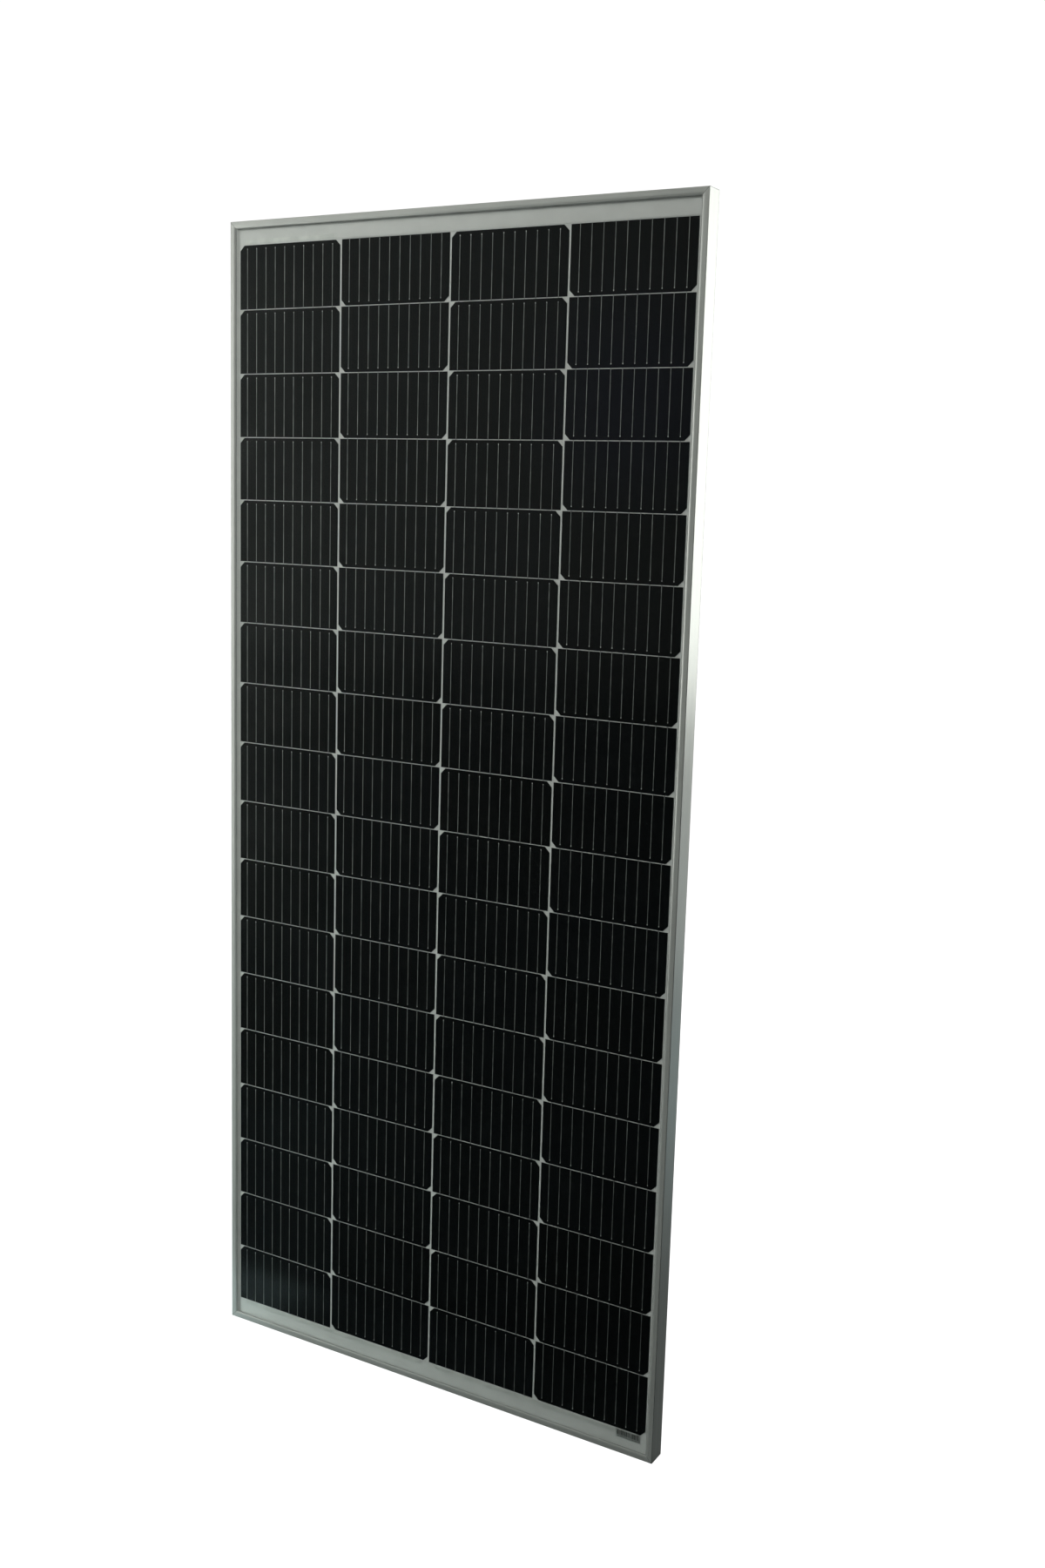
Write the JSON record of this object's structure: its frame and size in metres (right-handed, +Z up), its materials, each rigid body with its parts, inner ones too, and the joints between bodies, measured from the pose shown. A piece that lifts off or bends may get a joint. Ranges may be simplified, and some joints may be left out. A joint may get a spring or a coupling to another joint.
{
  "type": "solar panel",
  "caption": "Upright framed solar panel: black half-cut cells under glass in a mitred silver frame, with a rear junction box whose lid is hinged, and slots for bolting to rails.",
  "frame": {"origin": "centre of the rear mounting plane, in the middle of the four earthing holes", "axes": "+X to the right seen from the glass side, +Y out of the rear, +Z up"},
  "size_m": [0.766, 0.03, 1.726],
  "materials": {
    "anodised_frame": "clear satin anodised, faint drawing lines",
    "key_aluminium": "mill finish",
    "edge_sealant": "dark silicone, satin",
    "solar_glass": "tempered low-iron glass, lightly textured, anti-reflection coated",
    "clear_film": "clear laminated encapsulant",
    "white_film": "white laminated encapsulant",
    "silicon_cell": "textured dark silicon with a blue-black coating",
    "tinned_ribbon": "tin-plated copper, satin",
    "white_insulation": "white insulating strip",
    "white_backsheet": "white weatherproof backsheet",
    "label_stock": "plain label stock",
    "box_silicone": "grey silicone",
    "box_plastic": "black moulded plastic, fine grain",
    "lid_plastic": "black moulded plastic, fine grain",
    "seal_rubber": "silicone rubber",
    "spring_steel": "bright steel",
    "terminal_copper": "tin-washed copper",
    "diode_epoxy": "black moulded epoxy",
    "nut_plastic": "black moulded nylon"
  },
  "bodies": {
    "panel": {"frame_rail_left": "anodised_frame", "frame_rail_right": "anodised_frame", "frame_rail_top": "anodised_frame", "frame_rail_bottom": "anodised_frame", "corner_key_top_left": "key_aluminium", "corner_key_top_right": "key_aluminium", "corner_key_bottom_left": "key_aluminium", "corner_key_bottom_right": "key_aluminium", "edge_seal": "edge_sealant", "front_glass": "solar_glass", "front_film": "clear_film", "cell_string_1": "silicon_cell", "cell_string_2": "silicon_cell", "cell_string_3": "silicon_cell", "cell_string_4": "silicon_cell", "tab_ribbons_1": "tinned_ribbon", "tab_ribbons_2": "tinned_ribbon", "tab_ribbons_3": "tinned_ribbon", "tab_ribbons_4": "tinned_ribbon", "bus_lead_left": "tinned_ribbon", "bus_lead_right": "tinned_ribbon", "bus_link_top": "tinned_ribbon", "bus_link_bottom_left": "tinned_ribbon", "bus_link_bottom_right": "tinned_ribbon", "insulating_strip": "white_insulation", "bus_tapes": "white_insulation", "lead_patch": "white_insulation", "lead_ribbons": "tinned_ribbon", "rear_film": "white_film", "backsheet": "white_backsheet", "code_label": "label_stock", "rating_label": "label_stock", "box_adhesive": "box_silicone", "box_base": "box_plastic", "box_gasket": "seal_rubber", "hinge_pin": "spring_steel", "terminal_left": "terminal_copper", "terminal_middle": "terminal_copper", "terminal_right": "terminal_copper", "ribbon_clips": "spring_steel", "bypass_diode_left": "diode_epoxy", "bypass_diode_right": "diode_epoxy", "gland_seal_left": "seal_rubber", "gland_seal_right": "seal_rubber", "gland_nut_left": "nut_plastic", "gland_nut_right": "nut_plastic"},
    "lid": {"box_lid": "lid_plastic"}
  },
  "joints": [
    {"name": "lid_hinge", "type": "hinge", "parent": "panel", "child": "lid", "pos_m": [0, -0.0046, 0.8082], "axis": [1, 0, 0], "range_deg": [0, 110]}
  ]
}
